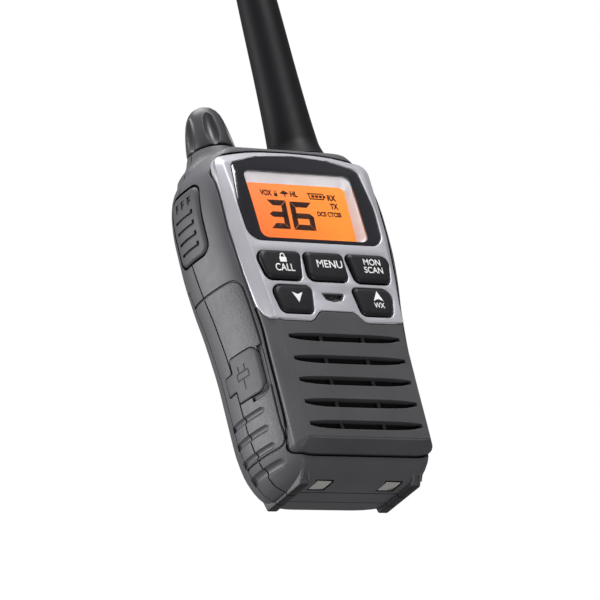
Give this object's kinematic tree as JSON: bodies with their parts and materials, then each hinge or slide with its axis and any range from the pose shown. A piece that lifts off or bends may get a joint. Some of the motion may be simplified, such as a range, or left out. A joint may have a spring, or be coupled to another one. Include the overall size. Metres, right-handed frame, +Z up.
{
  "type": "portable radio",
  "caption": "Hand-held two-way radio with backlit display, keypad, speaker grille, talk key, volume knob, fixed antenna, battery door and belt clip.",
  "frame": {"origin": "centre of the footprint of the whole radio with its clip, on the plane of the two rails it stands on", "axes": "+Z up along the case towards the antenna tip, -Y out of the display, +X towards the antenna side"},
  "size_m": [0.0575, 0.0426, 0.16],
  "materials": {
    "housing_plastic": "fine moulded grain, matt",
    "silver_plastic": "silver paint, satin",
    "black_plastic": "satin",
    "key_rubber": "soft satin with white legends",
    "black_rubber": "matt",
    "smoked_lens": "polished",
    "display_orange": "backlit liquid-crystal glass",
    "circuit_board": "solder mask",
    "steel": "plain",
    "nickel": "bright nickel plate",
    "battery_sleeve": "printed shrink sleeve",
    "speaker_cloth": "woven"
  },
  "bodies": {
    "radio_body": {"front_housing": "housing_plastic", "rear_housing": "housing_plastic", "display_bezel": "silver_plastic", "speaker_grille": "housing_plastic", "display_lens": "smoked_lens", "display_frame": "silver_plastic", "lcd_panel": "display_orange", "lcd_backlight": "silver_plastic", "keypad_membrane": "black_rubber", "main_board": "circuit_board", "radio_shield": "steel", "ptt_switch": "black_plastic", "usb_port": "steel", "headset_jack": "black_plastic", "speaker_basket": "steel", "speaker_magnet": "steel", "speaker_cone": "black_plastic", "speaker_cloth": "speaker_cloth", "microphone_capsule": "nickel", "microphone_boot": "black_rubber", "volume_pot": "steel", "antenna_sheath": "black_rubber", "antenna_whip": "steel", "antenna_stud": "steel", "antenna_nut": "nickel", "charge_contact_left": "nickel", "charge_contact_right": "nickel", "battery_pack": "battery_sleeve", "battery_spring_left": "nickel", "battery_spring_right": "nickel", "battery_plate": "nickel", "case_screw_top_left": "steel", "case_screw_top_right": "steel", "case_screw_low_left": "steel", "case_screw_low_right": "steel"},
    "talk_key": {"ptt_button": "black_rubber"},
    "call_key": {"key_call": "key_rubber"},
    "menu_key": {"key_menu": "key_rubber"},
    "scan_key": {"key_scan": "key_rubber"},
    "down_key": {"key_down": "key_rubber"},
    "up_key": {"key_up": "key_rubber"},
    "volume_control": {"volume_knob": "housing_plastic", "knob_shaft": "steel"},
    "usb_cover": {"usb_flap": "black_rubber"},
    "headset_cover": {"headset_flap": "black_rubber"},
    "door": {"battery_door": "housing_plastic"},
    "latch": {"battery_latch": "black_plastic"},
    "clip_slide": {"clip_base": "black_plastic", "clip_pin": "steel", "clip_spring": "steel"},
    "clip_lever": {"clip_arm": "black_plastic"}
  },
  "joints": [
    {"name": "knob_turn", "type": "hinge", "parent": "radio_body", "child": "volume_control", "pos_m": [-0.0133, -0.0021, 0.0979], "axis": [0, 0, -1], "range_deg": [0, 300]},
    {"name": "talk_press", "type": "slide", "parent": "radio_body", "child": "talk_key", "axis": [1, 0, 0], "range_m": [0, 0.001], "stiffness_N_per_m": 2500, "springref_m": -0.0004},
    {"name": "call_press", "type": "slide", "parent": "radio_body", "child": "call_key", "axis": [0, 1, 0], "range_m": [0, 0.0007], "stiffness_N_per_m": 1600, "springref_m": -0.0004},
    {"name": "menu_press", "type": "slide", "parent": "radio_body", "child": "menu_key", "axis": [0, 1, 0], "range_m": [0, 0.0007], "stiffness_N_per_m": 1600, "springref_m": -0.0004},
    {"name": "scan_press", "type": "slide", "parent": "radio_body", "child": "scan_key", "axis": [0, 1, 0], "range_m": [0, 0.0007], "stiffness_N_per_m": 1600, "springref_m": -0.0004},
    {"name": "down_press", "type": "slide", "parent": "radio_body", "child": "down_key", "axis": [0, 1, 0], "range_m": [0, 0.0007], "stiffness_N_per_m": 1600, "springref_m": -0.0004},
    {"name": "up_press", "type": "slide", "parent": "radio_body", "child": "up_key", "axis": [0, 1, 0], "range_m": [0, 0.0007], "stiffness_N_per_m": 1600, "springref_m": -0.0004},
    {"name": "usb_cover_swing", "type": "hinge", "parent": "radio_body", "child": "usb_cover", "pos_m": [-0.02498, -0.0025, 0.031], "axis": [0, 0, -1], "range_deg": [0, 110]},
    {"name": "headset_cover_swing", "type": "hinge", "parent": "radio_body", "child": "headset_cover", "pos_m": [0.02848, -0.0025, 0.072], "axis": [0, 0, 1], "range_deg": [0, 110]},
    {"name": "door_slide", "type": "slide", "parent": "radio_body", "child": "door", "axis": [0, 0, -1], "range_m": [0, 0.065]},
    {"name": "latch_slide", "type": "slide", "parent": "door", "child": "latch", "axis": [0, 0, 1], "range_m": [0, 0.0022], "stiffness_N_per_m": 600, "springref_m": -0.001},
    {"name": "clip_removal", "type": "slide", "parent": "radio_body", "child": "clip_slide", "axis": [0, 0, 1], "range_m": [0, 0.024]},
    {"name": "clip_open", "type": "hinge", "parent": "clip_slide", "child": "clip_lever", "pos_m": [0, 0.0181, 0.08], "axis": [1, 0, 0], "range_deg": [0, 14], "stiffness_Nm_per_rad": 0.3, "springref_deg": -17.19, "deforming": ["clip_spring"]}
  ]
}
